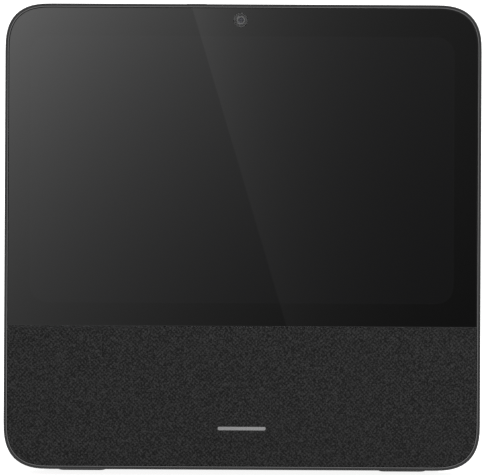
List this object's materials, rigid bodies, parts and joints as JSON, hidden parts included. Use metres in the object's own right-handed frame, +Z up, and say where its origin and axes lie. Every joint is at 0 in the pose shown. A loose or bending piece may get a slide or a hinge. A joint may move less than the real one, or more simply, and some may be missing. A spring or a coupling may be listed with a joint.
{
  "type": "smart display",
  "caption": "Table-top smart display: leaning near-square slab with a glass screen over a fabric speaker panel, metal band, keys and a wedge-shaped rear box on rubber feet.",
  "frame": {"origin": "on the table, under the middle of the whole object", "axes": "+Z up; the face looks towards -Y and leans back; +X is right as seen from the front"},
  "size_m": [0.2446, 0.08, 0.2392],
  "materials": {
    "band": "anodised dark grey, satin",
    "glass": "gloss, black printed behind",
    "clear_film": "clear",
    "panel": "gloss, switched off",
    "steel": "plated",
    "foam": "foam",
    "chassis": "cast",
    "black_plastic": "fine texture",
    "lens": "coated",
    "foil": "polyimide film",
    "fabric": "fine weave",
    "badge": "satin",
    "cone": "matt",
    "rubber": "matt",
    "board": "solder mask",
    "pad": "soft",
    "aluminium": "satin",
    "key": "satin",
    "cover": "fine texture",
    "magnet": "plated",
    "spider": "stiffened weave"
  },
  "bodies": {
    "root": {"frame_band": "band", "cover_glass": "glass", "touch_sensor": "clear_film", "lcd_cell": "panel", "backlight_tray": "steel", "display_gasket": "foam", "mid_chassis": "chassis", "camera_module": "black_plastic", "camera_lens": "lens", "camera_flex": "foil", "display_flex": "foil", "grille_carrier": "black_plastic", "grille_fabric": "fabric", "badge": "badge", "speaker_box": "black_plastic", "speaker_box_lid": "black_plastic", "left_basket": "steel", "left_magnet": "magnet", "left_surround": "rubber", "left_spider": "spider", "right_basket": "steel", "right_magnet": "magnet", "right_surround": "rubber", "right_spider": "spider", "bass_frame": "black_plastic", "bass_surround": "rubber", "speaker_screws": "steel", "box_screws": "steel", "main_board": "board", "board_shields": "steel", "thermal_pad": "pad", "heat_sink": "aluminium", "board_screws": "steel", "left_antenna": "foil", "right_antenna": "foil", "top_board": "board", "mic_gaskets": "rubber", "volume_board": "board", "rear_cover": "cover", "cover_screws": "steel", "power_inlet": "black_plastic", "power_lead": "rubber", "speaker_leads": "rubber", "front_feet": "rubber", "rear_feet": "rubber"},
    "mute_key": {"mute_key": "key"},
    "volume_up_key": {"volume_up_key": "key"},
    "volume_down_key": {"volume_down_key": "key"},
    "left_cone": {"left_cone": "cone"},
    "right_cone": {"right_cone": "cone"},
    "bass_radiator": {"bass_radiator": "cone"}
  },
  "joints": [
    {"name": "mute_press", "type": "slide", "parent": "root", "child": "mute_key", "axis": [0, -0.1736, -0.9848], "range_m": [0, 0.0003], "stiffness_N_per_m": 900, "springref_m": -0.0005},
    {"name": "volume_up_press", "type": "slide", "parent": "root", "child": "volume_up_key", "axis": [0, -0.9848, 0.1736], "range_m": [0, 0.0003], "stiffness_N_per_m": 900, "springref_m": -0.0005},
    {"name": "volume_down_press", "type": "slide", "parent": "root", "child": "volume_down_key", "axis": [0, -0.9848, 0.1736], "range_m": [0, 0.0003], "stiffness_N_per_m": 900, "springref_m": -0.0005},
    {"name": "left_cone_stroke", "type": "slide", "parent": "root", "child": "left_cone", "axis": [0, -0.9848, 0.1736], "range_m": [-0.0015, 0.0015], "stiffness_N_per_m": 1500},
    {"name": "right_cone_stroke", "type": "slide", "parent": "root", "child": "right_cone", "axis": [0, -0.9848, 0.1736], "range_m": [-0.0015, 0.0015], "stiffness_N_per_m": 1500},
    {"name": "bass_stroke", "type": "slide", "parent": "root", "child": "bass_radiator", "axis": [0, -0.9848, 0.1736], "range_m": [-0.0015, 0.0015], "stiffness_N_per_m": 1200}
  ]
}
